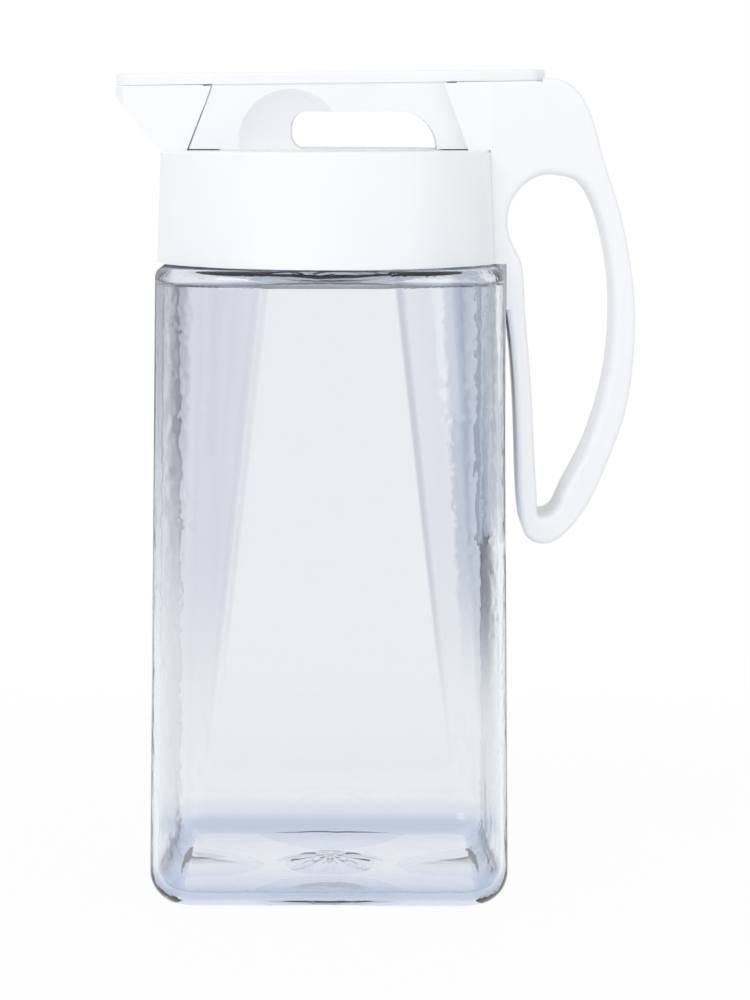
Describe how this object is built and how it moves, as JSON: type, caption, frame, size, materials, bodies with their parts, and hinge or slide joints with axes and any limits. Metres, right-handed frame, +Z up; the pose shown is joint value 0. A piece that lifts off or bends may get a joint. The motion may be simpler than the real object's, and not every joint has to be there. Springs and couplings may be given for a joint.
{
  "type": "formula pitcher",
  "caption": "Clear square drink pitcher with a white press-on collar, covered spout, loop handle and a quarter-turn lid with a finger window.",
  "frame": {"origin": "on the jar's axis, in the plane of its flat base", "axes": "+Z up along the jar's axis, +X to the handle, -X to the spout, +Y to the side away from the picture's view"},
  "size_m": [0.155, 0.1046, 0.2436],
  "materials": {
    "clear_plastic": "clear, polished, faint blue tint",
    "white_plastic": "white, satin gloss",
    "silicone": "translucent white silicone"
  },
  "bodies": {
    "jar_body": {"jar": "clear_plastic"},
    "frame": {"collar_with_spout": "white_plastic", "handle": "white_plastic", "neck_seal": "silicone"},
    "lid": {"lid_bar": "white_plastic", "lid_plug": "white_plastic", "plug_seal": "silicone", "port_gasket": "silicone"}
  },
  "joints": [
    {"name": "frame_lift", "type": "slide", "parent": "jar_body", "child": "frame", "axis": [0, 0, 1], "range_m": [0, 0.12]},
    {"name": "lid_turn", "type": "hinge", "parent": "frame", "child": "lid", "pos_m": [0, 0, 0.2196], "axis": [0, 0, 1], "range_deg": [0, 90]}
  ]
}
